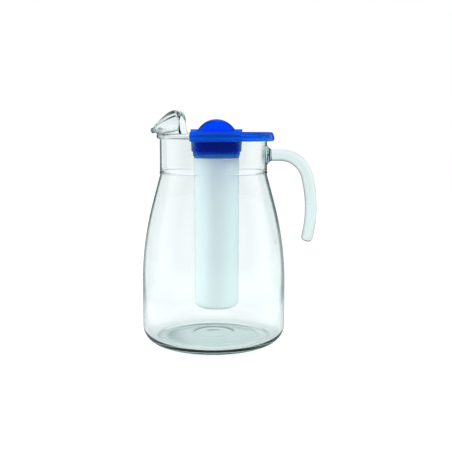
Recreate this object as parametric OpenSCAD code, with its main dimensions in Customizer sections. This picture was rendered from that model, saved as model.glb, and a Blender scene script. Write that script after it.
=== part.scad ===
// Glass water jug with an ice lip, a drop-in plastic lid and a tube of ice that hangs in the drink.
// The jug stands on the plane z = 0, its axis is the Z axis, the spout points to -X and the handle to +X.

/* [Jug] */
// Outer radius of the belly
belly_r = 73.3; // [66:0.1:82]
// Outer radius of the straight neck
neck_r = 54.4; // [50:0.1:60]
// Height of the crease where the shoulder meets the neck
neck_z = 172.4; // [160:0.1:182]
// Height of the rim
rim_z = 213.6; // [205:0.1:225]
// Height up to which the belly's wall is upright
upright_z = 60; // [45:1:80]
// Height at which the curved shoulder turns into a straight slope
slope_z = 144; // [120:1:155]
// Thickness of the glass wall
wall_t = 3; // [2:0.1:4]
// Thickness of the floor over the ring that the jug stands on
floor_t = 5.5; // [4:0.1:8]
// How much the inner floor rises from its edge to its middle
floor_crown = 4; // [2:0.1:5]
// Outer radius of the rounded heel
heel_r = 18; // [12:0.5:22]
// Radius of the rounding between the inner floor and the wall
well_r = 12; // [9:0.5:16]
// Width of the flat ring that the jug stands on
foot_w = 7; // [4:0.5:12]
// Height of the hollow under the floor
punt_h = 3; // [1.5:0.1:4.5]
// Radius of the outer ring that the mould leaves in the middle of the hollow
mark_r = 17; // [10:0.5:25]
// Depth of the mould's rings
mark_t = 0.3; // [0.2:0.1:1]
// Radius of the rolled bead on the rim
bead_r = 2.4; // [1.8:0.1:3]
// How far the bead stands out of the neck
bead_out = 3.3; // [2.5:0.1:3.6]
// Rounding of the rim's inner corner
lip_r = 1.2; // [0.5:0.1:1.8]

/* [Ice lip] */
// How far the middle of the beak's rolled edge stands out of the neck
tip_out = 6.5; // [3:0.1:10]
// Height of the beak's edge above the rim
tip_rise = 3.5; // [2:0.1:6]
// Thickness of the beak's rolled edge
tip_t = 6.2; // [4:0.1:7]
// Thickness of the ears' glass
ear_t = 3; // [2:0.1:4]
// Thickness of the glass where the ears grow out of the rim
ear_root_t = 5.2; // [3.5:0.1:6]
// Half the angle round the rim that the ice lip takes up, in degrees
lip_angle = 54.5; // [45:0.5:62]
// How far the ears' back edges spread where they grow out of the rim
ear_spread = 3.8; // [2:0.1:6]
// Distance of the ears' back edge from the axis, at the top
ear_back = 32.1; // [30:0.1:38]
// Clear width between the ears' back corners
ear_gap = 46; // [34:0.5:60]
// Height of the ears' back corners above the rim
ear_rise = 18.4; // [12:0.1:22]

/* [Handle] */
// Thickness of the glass rod
rod_t = 11.8; // [9:0.1:14]
// Width of the glass rod
rod_w = 16; // [12:0.1:20]
// Height at which the rod leaves the neck
rod_z = 192.3; // [186:0.1:198]
// Length of the straight stretch between the neck and the bend
stub_l = 13.6; // [10:0.1:20]
// Radius of the bend, in the middle of the rod
bend_r = 28; // [20:0.5:32]
// Radius of the long grip, in the middle of the rod
grip_r = 129; // [100:1:200]
// How far the bend turns, in degrees
bend_angle = 75; // [65:1:85]
// How far the grip turns, in degrees
grip_angle = 28.6; // [20:0.1:34]
// Length of the rod's rounded end
rod_end_l = 4; // [2:0.1:6]
// How far the fused root spreads round the rod
root_out = 4.6; // [2:0.1:6]
// Length over which the root narrows to the rod
root_l = 5.5; // [3:0.1:9]

/* [Lid] */
// Clearance between the rim's bead and the lid's skirt, at the skirt's lower edge
skirt_gap = 2.7; // [1.7:0.1:6]
// Thickness of the lid's plate and walls
lid_t = 1.6; // [1.2:0.1:2]
// Height of the skirt from the lid's top to its lower edge
skirt_h = 9.2; // [7:0.1:12]
// How much the skirt flares outwards on its way down
skirt_flare = 0.9; // [0:0.1:1.5]
// Rounding of the lid's outer corner
lid_corner_r = 3.2; // [2.4:0.1:4]
// Rounding of the skirt's lower edge, which curls inwards
skirt_edge_r = 2.6; // [2:0.1:3]
// Distance of the lid's straight edge from the jug's axis
chord_x = 20.5; // [14:0.1:24]
// How far the locating ring reaches down inside the neck
ring_h = 6; // [3:0.1:9]
// Clearance between the locating ring and the neck
ring_gap = 0.6; // [0.4:0.1:1.2]

/* [Socket in the lid] */
// How far the socket's axis lies behind the jug's axis, towards the handle
set_back = 3; // [0:0.1:5]
// Outer radius of the socket at its upper edge
socket_r = 26.3; // [26.2:0.1:28]
// How far the collar stands above the lid
collar_h = 2.8; // [1.5:0.1:5]
// How far the socket hangs below the lid's top
socket_h = 19.6; // [14:0.1:22]
// How much the socket narrows on its way down
socket_draft = 0.9; // [0:0.1:1]
// Depth of the ledge that the cap's flange rests on, below the lid's top
ledge_z = 1.9; // [1.5:0.1:3]

/* [Ice tube] */
// Outer radius of the tube at its shoulder
tube_r = 23.1; // [22.9:0.1:23.4]
// How much the tube narrows down to its foot
tube_draft = 0.5; // [0:0.1:2]
// Thickness of the tube's wall
tube_t = 1.9; // [1.2:0.1:2.4]
// Height of the tube's foot above the table
tube_foot_z = 36; // [20:0.5:60]
// Rounding of the tube's foot
tube_foot_r = 5; // [2:0.1:8]
// Length of the tube's threaded neck
tube_neck_l = 19.4; // [14:0.1:20]
// Thickness of the threaded neck's wall
tube_neck_t = 1.7; // [1.2:0.1:2]

/* [Cap] */
// Outer radius of the cap's skirt
cap_r = 23.9; // [23.7:0.1:24]
// Thickness of the cap's skirt
cap_t = 2.1; // [1.8:0.1:2.3]
// Length of the cap's skirt below its flange
cap_skirt_l = 24.5; // [20:0.1:26]
// Thickness of the cap's flange
flange_t = 2; // [1.5:0.1:2.5]
// Radius of the ball that the knob is a part of
knob_r = 22; // [20.5:0.1:23]
// Height of the knob above the flange
knob_h = 12.6; // [8:0.1:14]
// Thickness of the knob
knob_t = 2; // [1.4:0.1:2.4]
// Thickness of the sleeve inside the neck
sleeve_t = 1.6; // [1.2:0.1:2]
// Length of the sleeve that stops the neck from inside, below the seal
sleeve_l = 17; // [8:0.1:19]
// How much the sleeve narrows on its way down
sleeve_draft = 1; // [0.4:0.1:1.6]
// Width of the tapered lower edge of the cap's skirt
cap_edge_w = 1.1; // [0.4:0.1:1.4]
// Height of the tapered lower edge of the cap's skirt
cap_edge_h = 3.3; // [1:0.1:5]
// Thickness of the seal
seal_t = 2; // [1.2:0.1:3]

/* [Fits] */
// Gap between pieces that rest on each other
seat_gap = 0.3; // [0.2:0.05:0.4]
// Clearance between the neck's thread crests and the cap
thread_gap = 0.4; // [0.3:0.05:0.6]
// Clearance between the cap's skirt and the socket
socket_gap = 0.3; // [0.2:0.05:0.4]

/* [Hidden] */

// Fineness of a full turn and of one arc in an outline
$fn = 96;
arc_steps = 10;
// Overrun of cuts past the faces that they open
over = 1;

// The lid, from the rim out and up
lid_r = neck_r + bead_out + skirt_gap + lid_t;
lid_under_z = rim_z + seat_gap;
lid_top_z = lid_under_z + lid_t;
collar_z = lid_top_z + collar_h;
socket_low_z = lid_top_z - socket_h;
seat_z = lid_top_z - ledge_z;

// The cap, from the ledge that it rests on
flange_low_z = seat_z + seat_gap;
flange_top_z = flange_low_z + flange_t;
knob_top_z = flange_top_z + knob_h;
knob_mid_z = knob_top_z - knob_r;
cap_low_z = flange_low_z - cap_skirt_l;
cap_bore_r = cap_r - cap_t;
bore_r = cap_r + socket_gap;
flange_r = (bore_r + socket_r - lid_t / 2) / 2;

// The tube, from the cap's lower edge
shoulder_z = cap_low_z - seat_gap;
tube_neck_r = cap_bore_r - thread_gap;
tube_neck_in_r = tube_neck_r - tube_neck_t;
tube_rim_z = shoulder_z + tube_neck_l;
seal_z = tube_rim_z + seat_gap;
ceiling_z = seal_z + seal_t + seat_gap;
sleeve_r = tube_neck_in_r - thread_gap;

// Points of an arc round a centre, by angle
function arc(centre, radius, from, to, steps = arc_steps) =
    [for (i = [0:steps]) let (a = from + (to - from) * i / steps) centre + radius * [cos(a), sin(a)]];

// Points on curves with three and four control points
function bezier3(p, s) = (1 - s) * (1 - s) * p[0] + 2 * (1 - s) * s * p[1] + s * s * p[2];
function bezier4(p, s) = (1 - s) * bezier3([p[0], p[1], p[2]], s) + s * bezier3([p[1], p[2], p[3]], s);

// A closed skin over rings of points, all with the same even count, with a strip across each end
module skin(rings) {
    n = len(rings[0]);
    last = len(rings) - 1;
    half = floor(n / 2);
    sides = [for (i = [0:last - 1], j = [0:n - 1], side = [0, 1])
        let (a = i * n + j, b = i * n + (j + 1) % n)
        side == 0 ? [a, b + n, b] : [a, a + n, b + n]];
    ends = [for (k = [0:half - 2], side = [0, 1])
        side == 0 ? [k, k + 1, n - 2 - k] : [k, n - 2 - k, n - 1 - k]];
    far = [for (f = ends) [for (v = [f[2], f[1], f[0]]) v + last * n]];
    polyhedron([for (ring = rings) each ring], concat(sides, ends, far), convexity = 8);
}

// The jug

// Half-angle tangent of the shoulder's slope, closed in on by repetition: an arc from upright_z to
// slope_z and a straight stretch from there to neck_z together bring belly_r in to neck_r
function slope_tan(t, again) = again == 0 ? t : slope_tan(
    (belly_r - neck_r) / (slope_z - upright_z + 2 * (neck_z - slope_z) / (1 - t * t)), again - 1);
slope_half = atan(slope_tan(0, 8));
slope = 2 * slope_half;
shoulder_r = (slope_z - upright_z) / sin(slope);
shoulder_mid = [belly_r - shoulder_r, upright_z];

foot_r = belly_r - heel_r;
bead_mid = [neck_r + bead_out - bead_r, rim_z - bead_r];
neck_in_r = neck_r - wall_t;

// Under side: the hollow is part of a ball, with two shallow rings in its middle
punt_edge_r = foot_r - foot_w;
punt_ball_r = (punt_edge_r * punt_edge_r + punt_h * punt_h) / (2 * punt_h);
function punt_z(r) = sqrt(punt_ball_r * punt_ball_r - r * r) - punt_ball_r + punt_h;
mark_shares = [0.45, 1];
punt_outline = [
    [0, punt_z(0)],
    for (share = mark_shares) each [
        [share * mark_r, punt_z(share * mark_r) + (share < 1 ? mark_t : 0)],
        [share * mark_r, punt_z(share * mark_r) + (share < 1 ? 0 : mark_t)]],
    for (i = [1:arc_steps]) let (r = mark_r + (punt_edge_r - mark_r) * i / arc_steps) [r, punt_z(r)]];

// Upper side of the floor: part of a ball too, that swells up in the middle
well_edge_r = belly_r - wall_t - well_r;
crown_ball_r = (well_edge_r * well_edge_r + floor_crown * floor_crown) / (2 * floor_crown);
crown_low_z = floor_t + floor_crown - crown_ball_r;

module jug_body() {
    rotate_extrude() polygon(concat(
        punt_outline,
        arc([foot_r, heel_r], heel_r, -90, 0),
        arc(shoulder_mid, shoulder_r, 0, slope),
        [[neck_r, neck_z], [neck_r, bead_mid.y - bead_r]],
        arc(bead_mid, bead_r, -90, 90),
        arc([neck_in_r + lip_r, rim_z - lip_r], lip_r, 90, 180),
        [[neck_in_r, neck_z - wall_t * tan(slope_half)]],
        arc(shoulder_mid, shoulder_r - wall_t, slope, 0),
        arc([well_edge_r, floor_t + well_r], well_r, 0, -90),
        [for (i = [1:arc_steps]) let (r = well_edge_r * (1 - i / arc_steps))
            [r, crown_low_z + sqrt(crown_ball_r * crown_ball_r - r * r)]]));
}

// The ice lip is one sheet of glass that grows out of the rim: in the middle it rolls outwards into
// the beak, and on both sides it stands up and leans in over the mouth as an ear
lip_r_mid = neck_r + (bead_out - wall_t) / 2;
lip_low_share = 1.2;
lip_low_z = rim_z - lip_low_share * bead_r;
reach = neck_r + tip_out;
// Shares of the ear's length, half gap and rise that the curve's inner control points stand off its ends
tip_pull_shares = [0, 0.6, 0];
back_pull_shares = [-0.18, -0.12, 0.73];
ear_size = [reach - ear_back, ear_gap / 2, ear_rise];
tip_mid = [-reach, 0, rim_z + tip_rise];
ear_corner = [-ear_back, ear_gap / 2, rim_z + ear_rise];
function part_of(size, shares) = [for (i = [0:2]) size[i] * shares[i]];
lip_curve = [
    tip_mid,
    tip_mid + part_of(ear_size, tip_pull_shares),
    ear_corner + part_of(ear_size, back_pull_shares),
    ear_corner];

// Upper edge, foot and skin of the sheet at t, from -1 at the near ear's back edge to 1 at the far one's,
// and at u, from 0 at the foot to 1 at the edge; the foot flares a little and spreads into the rim
flare_share = 1.02;
flare_z_share = 0.9;
spread_power = 9;
lip_foot_run = lip_r_mid * lip_angle * PI / 180;
function lip_edge(t) = let (p = bezier4(lip_curve, abs(t))) [p.x, sign(t) * p.y, p.z];
function lip_foot(t, u) = let (a = lip_angle * t * (1 + ear_spread / lip_foot_run * pow(1 - u, spread_power)))
    [-lip_r_mid * cos(a), lip_r_mid * sin(a), lip_low_z];
function sheet(t, u) = let (foot = lip_foot(t, u), edge = lip_edge(t),
        flare_z = lip_low_z + flare_z_share * (edge.z - lip_low_z))
    bezier3([foot, [foot.x * flare_share, foot.y * flare_share, flare_z], edge], u);
function unit(v) = v / norm(v);
step = 0.002;
function along(t, u) = unit(sheet(t + step, u) - sheet(t - step, u));
function upward(t, u) = unit(sheet(t, u + step) - sheet(t, u - step));
function across(t, u) = unit(cross(along(t, u), upward(t, u)));
beak_power = 4;
function sheet_t(t, u) = ear_t + (tip_t - ear_t) * pow(max(0, 1 - abs(t)) * u, beak_power)
    + (ear_root_t - ear_t) * pow(1 - u, beak_power);

// Columns of points stand closer together at the beak and at the ears' back edges
lip_rows = 9;
lip_columns = 18;
crowding = 0.6;
lip_ts = [for (i = [-lip_columns:lip_columns])
    let (s = i / lip_columns) s - crowding / (2 * PI) * sin(360 * s)];
round_angles = [25, 50, 75];
edge_angles = [36, 72, 108, 144];
round_t = ear_t / 2 / lip_foot_run;
function lip_ring(t, share) = let (half = [for (k = [0:lip_rows]) share * sheet_t(t, k / lip_rows) / 2])
    concat(
        [for (k = [0:lip_rows]) let (u = k / lip_rows) sheet(t, u) - half[k] * across(t, u)],
        [for (a = edge_angles)
            sheet(t, 1) + half[lip_rows] * (sin(a) * upward(t, 1) - cos(a) * across(t, 1))],
        [for (k = [lip_rows:-1:0]) let (u = k / lip_rows) sheet(t, u) + half[k] * across(t, u)]);

module ice_lip() {
    skin(concat(
        [for (i = [len(round_angles) - 1:-1:0])
            lip_ring(-1 - round_t * sin(round_angles[i]), cos(round_angles[i]))],
        [for (t = lip_ts) lip_ring(t, 1)],
        [for (a = round_angles) lip_ring(1 + round_t * sin(a), cos(a))]));
}

module jug() {
    color([0.80, 0.92, 0.90, 0.35]) union() {
        jug_body();
        ice_lip();
    }
}

// The handle: a straight stub, a tight bend and a long open grip, with an oval section all along

stub_from_x = neck_r - wall_t;
bend_x = neck_r + stub_l;
stub_run = bend_x - stub_from_x;
bend_run = bend_r * bend_angle * PI / 180;
grip_run = grip_r * grip_angle * PI / 180;
rod_run = stub_run + bend_run + grip_run;
grip_mid = [bend_x + (bend_r - grip_r) * sin(bend_angle), rod_z - bend_r + (bend_r - grip_r) * cos(bend_angle)];

// Turn of the rod's heading below the level at a distance along it, and the rod's middle there
function rod_turn(d) = d < stub_run ? 0
    : d < stub_run + bend_run ? (d - stub_run) / bend_r * 180 / PI
    : bend_angle + (d - stub_run - bend_run) / grip_r * 180 / PI;
function rod_mid(d) = let (turn = rod_turn(d))
    d < stub_run ? [stub_from_x + d, rod_z]
    : d < stub_run + bend_run ? [bend_x + bend_r * sin(turn), rod_z - bend_r + bend_r * cos(turn)]
    : grip_mid + grip_r * [sin(turn), cos(turn)];

rod_sides = 24;
rod_steps = 30;
root_power = 2.2;
// A ring of the oval section; the fused root spreads, and the end closes as a low dome
function rod_ring(d, share, past) = let (
    turn = rod_turn(d),
    mid = rod_mid(d) + past * [cos(turn), -sin(turn)],
    spread = root_out * pow(max(0, 1 - max(0, d - wall_t) / root_l), root_power),
    thick = share * (rod_t / 2 + spread),
    wide = share * (rod_w / 2 + spread))
    [for (k = [0:rod_sides - 1]) let (a = 360 * (k + 0.5) / rod_sides)
        [mid.x + thick * sin(turn) * cos(a), wide * sin(a), mid.y + thick * cos(turn) * cos(a)]];

root_rings = [for (i = [0:7]) (wall_t + root_l) * i / 7];
rod_rings = [for (i = [1:rod_steps]) wall_t + root_l + (rod_run - wall_t - root_l) * i / rod_steps];

module handle() {
    color([0.80, 0.92, 0.90, 0.35]) difference() {
        skin(concat(
            [for (d = concat(root_rings, rod_rings)) rod_ring(d, 1, 0)],
            [for (a = [25, 50, 75]) rod_ring(rod_run, cos(a), rod_end_l * sin(a))]));
        translate([0, 0, neck_z]) cylinder(r = neck_r, h = rim_z - neck_z);
    }
}

// The lid: a round plate with a rounded skirt outside the rim and a locating ring inside it, cut
// straight on the side of the spout, and a tapered socket that the tube's cap drops into

module lid_disc() {
    low_z = lid_top_z - skirt_h;
    top_r = lid_r - skirt_flare;
    corner_mid = [top_r - lid_corner_r, lid_top_z - lid_corner_r];
    edge_mid = [lid_r - skirt_edge_r, low_z + skirt_edge_r];
    ring_r = neck_in_r - ring_gap;
    rotate_extrude() polygon(concat(
        [[0, lid_under_z], [ring_r - lid_t, lid_under_z], [ring_r - lid_t, lid_under_z - ring_h],
            [ring_r, lid_under_z - ring_h], [ring_r, lid_under_z]],
        arc(corner_mid, lid_corner_r - lid_t, 90, 0),
        arc(edge_mid, skirt_edge_r - lid_t, 0, -90),
        arc(edge_mid, skirt_edge_r, -90, 0),
        arc(corner_mid, lid_corner_r, 0, 90),
        [[0, lid_top_z]]));
}

// Low wall that stiffens the lid's straight edge between the ends of the locating ring
module chord_wall() {
    ring_r = neck_in_r - ring_gap;
    intersection() {
        translate([-chord_x, -ring_r, lid_under_z - ring_h])
            cube([lid_t, 2 * ring_r, ring_h + lid_t / 2]);
        translate([0, 0, lid_under_z - ring_h]) cylinder(r = ring_r - lid_t / 2, h = ring_h + lid_t);
    }
}

module socket_outside() {
    h = collar_z - socket_low_z;
    translate([set_back, 0, socket_low_z]) cylinder(r1 = socket_r - socket_draft, r2 = socket_r, h = h);
}

module socket_inside() {
    counter_r = flange_r + socket_gap;
    translate([set_back, 0, socket_low_z - over]) cylinder(r = bore_r, h = seat_z - socket_low_z + 2 * over);
    translate([set_back, 0, seat_z]) cylinder(r = counter_r, h = collar_z - seat_z + over);
}

module lid() {
    color([0.05, 0.25, 0.90, 0.75]) difference() {
        union() {
            difference() {
                lid_disc();
                translate([-chord_x - 2 * lid_r, -2 * lid_r, 0]) cube([2 * lid_r, 4 * lid_r, 2 * lid_top_z]);
            }
            chord_wall();
            socket_outside();
        }
        socket_inside();
    }
}

// The ice tube: a closed cup with a rounded foot and a narrower threaded neck

module ice_tube() {
    foot_r = tube_r - tube_draft;
    in_foot_r = tube_foot_r - tube_t / 2;
    step_h = tube_r - tube_neck_r;
    color([0.86, 0.92, 0.92, 0.8]) translate([set_back, 0, 0]) rotate_extrude() polygon(concat(
        [[0, tube_foot_z]],
        arc([foot_r - tube_foot_r, tube_foot_z + tube_foot_r], tube_foot_r, -90, 0),
        [[tube_r, shoulder_z], [tube_neck_r, shoulder_z],
            [tube_neck_r, tube_rim_z], [tube_neck_in_r, tube_rim_z],
            [tube_neck_in_r, shoulder_z - tube_t], [tube_r - tube_t, shoulder_z - tube_t - step_h]],
        arc([foot_r - tube_t - in_foot_r, tube_foot_z + tube_t + in_foot_r], in_foot_r, 0, -90),
        [[0, tube_foot_z + tube_t]]));
}

// The cap: a hollow knob on a flange, a threaded skirt round the neck and a sleeve inside it

module tube_cap() {
    knob_foot = acos((flange_top_z - knob_mid_z > 0 ? flange_top_z - knob_mid_z : 0) / knob_r);
    inside_r = knob_r - knob_t;
    sleeve_in_r = sleeve_r - sleeve_t;
    inside_foot = asin(sleeve_in_r / inside_r);
    sleeve_low_z = ceiling_z - sleeve_l;
    color([0.03, 0.20, 0.85, 0.8]) translate([set_back, 0, 0]) rotate_extrude() polygon(concat(
        [[cap_bore_r, cap_low_z], [cap_r - cap_edge_w, cap_low_z], [cap_r, cap_low_z + cap_edge_h],
            [cap_r, flange_low_z], [flange_r, flange_low_z], [flange_r, flange_top_z]],
        arc([0, knob_mid_z], knob_r, 90 - knob_foot, 90),
        arc([0, knob_mid_z], inside_r, 90, 90 - inside_foot),
        [[sleeve_in_r - sleeve_draft, sleeve_low_z], [sleeve_r - sleeve_draft, sleeve_low_z],
            [sleeve_r, ceiling_z], [cap_bore_r, ceiling_z]]));
}

module cap_seal() {
    color([0.75, 0.78, 0.80]) translate([set_back, 0, seal_z]) difference() {
        cylinder(r = tube_neck_r, h = seal_t);
        translate([0, 0, -over]) cylinder(r = tube_neck_in_r, h = seal_t + 2 * over);
    }
}

jug();
handle();
lid();
ice_tube();
tube_cap();
cap_seal();
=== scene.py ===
# %% [markdown]
# # A glass water jug with an ice tube
#
# This lesson dresses the jug that the CAD frame holds: clear glass, translucent blue plastic and a
# frosted tube. Glass and thin plastic show both their faces, so each of these pieces is made again
# here as one clean closed skin in the place of its CAD node, which stays hidden behind it.

# %% Load the frame
import math

import bmesh
import bpy
from mathutils import Matrix, Vector


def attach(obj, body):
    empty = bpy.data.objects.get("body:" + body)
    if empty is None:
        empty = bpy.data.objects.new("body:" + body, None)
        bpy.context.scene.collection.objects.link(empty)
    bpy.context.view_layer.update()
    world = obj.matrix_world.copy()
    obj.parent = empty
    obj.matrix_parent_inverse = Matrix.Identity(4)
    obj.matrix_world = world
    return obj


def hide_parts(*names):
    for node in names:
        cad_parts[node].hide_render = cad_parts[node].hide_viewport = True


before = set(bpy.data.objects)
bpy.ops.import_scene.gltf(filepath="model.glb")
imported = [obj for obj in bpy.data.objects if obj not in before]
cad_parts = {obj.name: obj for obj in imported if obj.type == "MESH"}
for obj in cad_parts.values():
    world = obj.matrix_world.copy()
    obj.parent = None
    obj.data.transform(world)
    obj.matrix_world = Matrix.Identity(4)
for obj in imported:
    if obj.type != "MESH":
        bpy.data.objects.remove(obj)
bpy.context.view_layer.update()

# %% [markdown]
# ## Camera
#
# The picture is taken from about the height of the lid, 78 cm away, and looks down a little. The
# ellipses of the rim, of the inner floor and of the foot fix that height and tilt, and the spout's
# two ears show that the jug is turned by about one degree.

# %% Camera
MM = 0.001
CAMERA_DISTANCE = 780 * MM
CAMERA_HEIGHT = 213.8 * MM
CAMERA_SIDE = 12.7 * MM
CAMERA_DOWN = math.radians(6.9)
JUG_TURN = math.radians(1.3)
LENS_MM = 60.75
SENSOR_MM = 36
NEAREST_SEEN = 10 * MM

camera_data = bpy.data.cameras.new("camera")
camera_data.lens = LENS_MM
camera_data.sensor_width = SENSOR_MM
camera_data.clip_start = NEAREST_SEEN
camera = bpy.data.objects.new("camera", camera_data)
stand = Vector((CAMERA_SIDE, -CAMERA_DISTANCE, CAMERA_HEIGHT))
camera.location = Matrix.Rotation(JUG_TURN, 4, "Z") @ stand
camera.rotation_euler = (math.radians(90) - CAMERA_DOWN, 0, JUG_TURN)
bpy.context.collection.objects.link(camera)
bpy.context.scene.camera = camera
bpy.context.scene.view_settings.view_transform = "Standard"
print("camera at", tuple(round(v, 4) for v in camera.location))

# %% [markdown]
# ## Colours and nodes
#
# Colours are written as sRGB hex values, as a paint chart gives them, and turned to the linear
# values that the shaders want. One small function adds a node, sets its sockets and makes its
# links. The few settings that come back often have names.

# %% Colour and node helpers
SOFT = {"interpolation_type": "SMOOTHSTEP"}
COLOURS = {"data_type": "RGBA"}
TIMES, LARGER, SMALLER = ({"operation": name} for name in ("MULTIPLY", "MAXIMUM", "MINIMUM"))
WHITE = "#FFFFFF"


def linear(hex_colour, alpha=1.0):
    """The linear colour of an sRGB hex value: a straight line near black and a power above it."""
    values = [int(hex_colour[i : i + 2], 16) / 255 for i in (1, 3, 5)]
    return (*(v / 12.92 if v <= 0.04045 else ((v + 0.055) / 1.055) ** 2.4 for v in values), alpha)


def add_node(tree, kind, settings=None, **sockets):
    """Adds a node. A socket takes a value, an output or a node, whose first output is then linked.

    The spaces in a socket's name are written _, and _ with a number is the socket with that number.
    """
    node = tree.nodes.new(kind)
    for name, value in (settings or {}).items():
        setattr(node, name, value)
    for name, value in sockets.items():
        key = int(name[1:]) if name[0] == "_" else name.replace("_", " ")
        if isinstance(value, bpy.types.Node):
            value = value.outputs[0]
        if isinstance(value, bpy.types.NodeSocket):
            tree.links.new(value, node.inputs[key])
        else:
            node.inputs[key].default_value = value
    return node


def new_material(name):
    """A material with an empty node tree."""
    material = bpy.data.materials.new(name)
    material.use_nodes = True
    material.node_tree.nodes.clear()
    return material, material.node_tree


# %% [markdown]
# ## The room round the jug
#
# Glass shows what is round it more than what falls on it. So the jug stands before a white screen,
# and past the screen's sides the glass shows a grey-green studio that gets darker overhead. What
# the glass mirrors is a darker room, with wide openings on the left and the right and tall windows
# all round, and what it mirrors twice is nearly white again. This is how a studio draws a dark
# line round clear glass. The sky lights the solid pieces at a plain level, and the camera sees
# plain white.
#
# Cards and screens could be built for it, but they would stand in the way when the jug is seen
# from another side. So the room is worked out in the nodes of the sky, from the direction of each
# ray.

# %% Values of the room
# Directions are parts of a ray that is 1 long: x to the right, y away from the camera, and z up.
SKY_LIGHT, SEEN_LIGHT = 1.12, 1.03
WHITE_UP_TO, GREY_FROM, OVERHEAD_GREY = 0.18, 0.75, 0.42
SCREEN_FROM, SCREEN_TO, BACK_FROM, BACK_TO = 0.6, 1.0, -0.5, 0.2
SIDE_FROM, SIDE_TO, RIGHT_LEVEL = 0.45, 0.6, 0.9
WINDOWS, WINDOW_FROM, WINDOW_TO, WINDOW_LEVEL = 8.0, 0.0, 0.6, 0.8
SILL_FROM, SILL_TO = 0.03, 0.12
MIRRORED_TWICE = 0.9
SKY_WHITE, ROUND_THE_SIDES, MIRRORED_ROOM = "#F7FAFF", "#6E8A8A", "#305456"


# %% Parts that the room and the floor share
def side_light(tree, x):
    """Light of the wide openings on the left and on the right."""
    left = add_node(
        tree, "ShaderNodeMapRange", SOFT,
        Value=x, From_Min=-SIDE_TO, From_Max=-SIDE_FROM, To_Min=1.0, To_Max=0.0,
    )
    right = add_node(
        tree, "ShaderNodeMapRange", SOFT,
        Value=x, From_Min=SIDE_FROM, From_Max=SIDE_TO, To_Min=0.0, To_Max=RIGHT_LEVEL,
    )
    return add_node(tree, "ShaderNodeMath", LARGER, _0=left, _1=right)


def seen_in_glass(tree, level, screen, bright):
    """What rays through glass see: a white screen in a studio and, once mirrored, a darker room."""
    times = add_node(tree, "ShaderNodeLightPath").outputs["Glossy Depth"]
    mirrored = add_node(tree, "ShaderNodeMath", SMALLER, _0=times, _1=1.0)
    again = add_node(
        tree, "ShaderNodeMapRange", SOFT,
        Value=times, From_Min=1.0, From_Max=2.0, To_Min=0.0, To_Max=MIRRORED_TWICE,
    )
    bright = add_node(tree, "ShaderNodeMath", LARGER, _0=bright, _1=again)
    studio, room = linear(ROUND_THE_SIDES), linear(MIRRORED_ROOM)
    light = add_node(tree, "ShaderNodeMix", COLOURS, Factor=screen, _6=studio, _7=linear(WHITE))
    dark = add_node(tree, "ShaderNodeMix", COLOURS, Factor=bright, _6=room, _7=linear(WHITE))
    both = add_node(
        tree, "ShaderNodeMix", COLOURS, Factor=mirrored, _6=light.outputs[2], _7=dark.outputs[2]
    )
    return add_node(
        tree, "ShaderNodeVectorMath", {"operation": "SCALE"}, _0=both.outputs[2], Scale=level
    )


def any_of(tree, *kinds):
    """1 for rays of any of these kinds."""
    paths = add_node(tree, "ShaderNodeLightPath")
    found = paths.outputs[kinds[0]]
    for kind in kinds[1:]:
        found = add_node(tree, "ShaderNodeMath", LARGER, _0=found, _1=paths.outputs[kind])
    return found


# %% Sky
world = bpy.data.worlds.new("soft room")
bpy.context.scene.world = world
world.use_nodes = True
sky = world.node_tree
sky.nodes.clear()
direction = add_node(sky, "ShaderNodeTexCoord")
axes = add_node(sky, "ShaderNodeSeparateXYZ", _0=direction.outputs["Generated"])
x, y, z = (axes.outputs[name] for name in "XYZ")
turn = add_node(sky, "ShaderNodeMath", {"operation": "ARCTAN2"}, _0=y, _1=x)
turns = add_node(sky, "ShaderNodeMath", TIMES, _0=turn, _1=WINDOWS)
wave = add_node(sky, "ShaderNodeMath", {"operation": "COSINE"}, _0=turns)
level = {}
for name, value, start, end, first, last in (
    ("overhead", z, WHITE_UP_TO, GREY_FROM, 1.0, OVERHEAD_GREY),
    ("windows", wave, WINDOW_FROM, WINDOW_TO, 0.0, WINDOW_LEVEL),
    ("over sill", z, SILL_FROM, SILL_TO, 0.0, 1.0),
    ("not in front", y, BACK_FROM, BACK_TO, 0.0, 1.0),
    ("screen", y, SCREEN_FROM, SCREEN_TO, 0.0, 1.0),
):
    level[name] = add_node(
        sky, "ShaderNodeMapRange", SOFT,
        Value=value, From_Min=start, From_Max=end, To_Min=first, To_Max=last,
    )
panes = add_node(sky, "ShaderNodeMath", TIMES, _0=level["windows"], _1=level["over sill"])
openings = add_node(sky, "ShaderNodeMath", LARGER, _0=side_light(sky, x), _1=panes)
bright = add_node(sky, "ShaderNodeMath", TIMES, _0=openings, _1=level["not in front"])
room = seen_in_glass(sky, level["overhead"], level["screen"], bright)
plain = add_node(sky, "ShaderNodeBackground", Color=linear(SKY_WHITE), Strength=SKY_LIGHT)
seen = add_node(sky, "ShaderNodeBackground", Color=room, Strength=SEEN_LIGHT)
white = add_node(sky, "ShaderNodeBackground", Color=linear(WHITE), Strength=1.0)
scattered = add_node(sky, "ShaderNodeLightPath").outputs["Diffuse Depth"]
unscattered = add_node(sky, "ShaderNodeMath", {"operation": "LESS_THAN"}, _0=scattered, _1=0.5)
through_glass = any_of(sky, "Is Glossy Ray", "Is Transmission Ray")
shiny = add_node(sky, "ShaderNodeMath", TIMES, _0=through_glass, _1=unscattered)
inside = add_node(sky, "ShaderNodeMixShader", _0=shiny, _1=plain, _2=seen)
shown = add_node(sky, "ShaderNodeMixShader", _0=any_of(sky, "Is Camera Ray"), _1=inside, _2=white)
add_node(sky, "ShaderNodeOutputWorld", Surface=shown)
print("room: white to", WHITE_UP_TO, "grey from", GREY_FROM, "windows", int(WINDOWS))

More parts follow.
